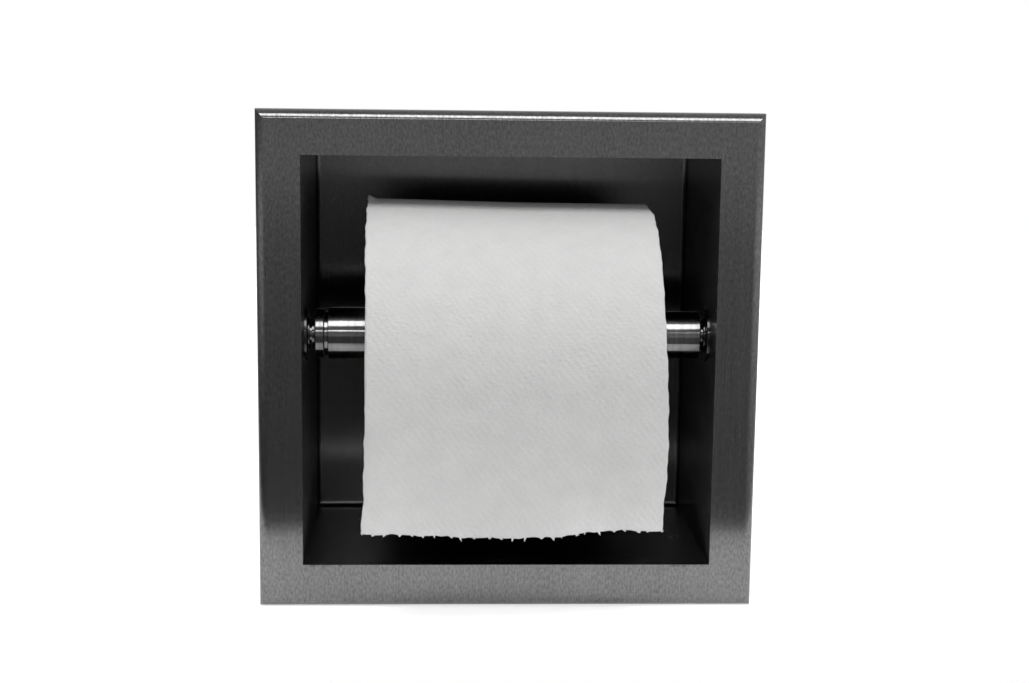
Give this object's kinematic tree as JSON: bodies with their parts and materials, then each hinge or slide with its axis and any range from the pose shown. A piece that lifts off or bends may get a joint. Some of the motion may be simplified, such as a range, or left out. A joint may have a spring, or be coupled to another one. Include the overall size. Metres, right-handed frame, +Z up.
{
  "type": "recessed toilet paper holder",
  "caption": "Square brushed steel toilet paper holder set into a wall, with a sprung telescoping spindle that carries a paper roll, and a clamp behind the wall board.",
  "frame": {"origin": "centre of the square wall opening, on the wall's face, where the face plate's rim meets the wall", "axes": "+X to the right seen from the room, +Y into the wall, +Z up"},
  "size_m": [0.16, 0.1327, 0.16],
  "materials": {
    "plate_steel": "satin, brushed upright",
    "recess_steel": "satin, brushed upright",
    "roller_steel": "polished, fine lengthwise marks",
    "turned_steel": "turned bright",
    "zinc_steel": "bright zinc plate",
    "spring_steel": "drawn wire",
    "core_board": "spiral-wound grey board",
    "wound_paper": "soft embossed tissue, wound",
    "tissue_paper": "soft embossed tissue"
  },
  "bodies": {
    "housing": {"face_plate": "plate_steel", "recess_box": "recess_steel", "left_socket": "turned_steel", "right_socket": "turned_steel", "socket_lock_washers": "zinc_steel", "clamp_screw_washers": "zinc_steel", "hanging_sheet": "tissue_paper"},
    "wall_clamp": {"clamp_strap": "zinc_steel", "clamp_nuts": "zinc_steel"},
    "upper_screw": {"upper_clamp_screw": "zinc_steel"},
    "lower_screw": {"lower_clamp_screw": "zinc_steel"},
    "spindle_outer": {"outer_tube": "roller_steel", "left_end_cap": "turned_steel", "left_end_pin": "turned_steel", "stop_rivet": "turned_steel", "spindle_spring": "spring_steel"},
    "spindle_inner": {"inner_tube": "roller_steel", "right_end_plug": "turned_steel", "right_end_pin": "turned_steel"},
    "roll": {"roll_core": "core_board", "paper_roll": "wound_paper"}
  },
  "joints": [
    {"name": "upper_screw_turn", "type": "hinge", "parent": "housing", "child": "upper_screw", "pos_m": [0, 0.07, 0.04], "axis": [0, 1, 0], "range_deg": [-6180, 1550]},
    {"name": "lower_screw_turn", "type": "hinge", "parent": "housing", "child": "lower_screw", "pos_m": [0, 0.07, -0.04], "axis": [0, 1, 0], "range_deg": [-6180, 1550]},
    {"name": "clamp_draw", "type": "slide", "parent": "housing", "child": "wall_clamp", "axis": [0, 1, 0], "range_m": [-0.003, 0.012]},
    {"name": "spindle_spin", "type": "hinge", "parent": "housing", "child": "spindle_outer", "pos_m": [0, 0.016, 0.0064], "axis": [1, 0, 0], "continuous": true},
    {"name": "spindle_compress", "type": "slide", "parent": "spindle_outer", "child": "spindle_inner", "axis": [-1, 0, 0], "range_m": [0, 0.012], "stiffness_N_per_m": 350, "springref_m": -0.02, "deforming": ["spindle_spring"]},
    {"name": "roll_spin", "type": "hinge", "parent": "housing", "child": "roll", "pos_m": [0, 0.016, -0.0042], "axis": [1, 0, 0], "continuous": true}
  ],
  "couplings": [
    {"joint": "upper_screw_turn", "follows": "clamp_draw", "rad_per_m": -8976},
    {"joint": "lower_screw_turn", "follows": "clamp_draw", "rad_per_m": -8976}
  ]
}
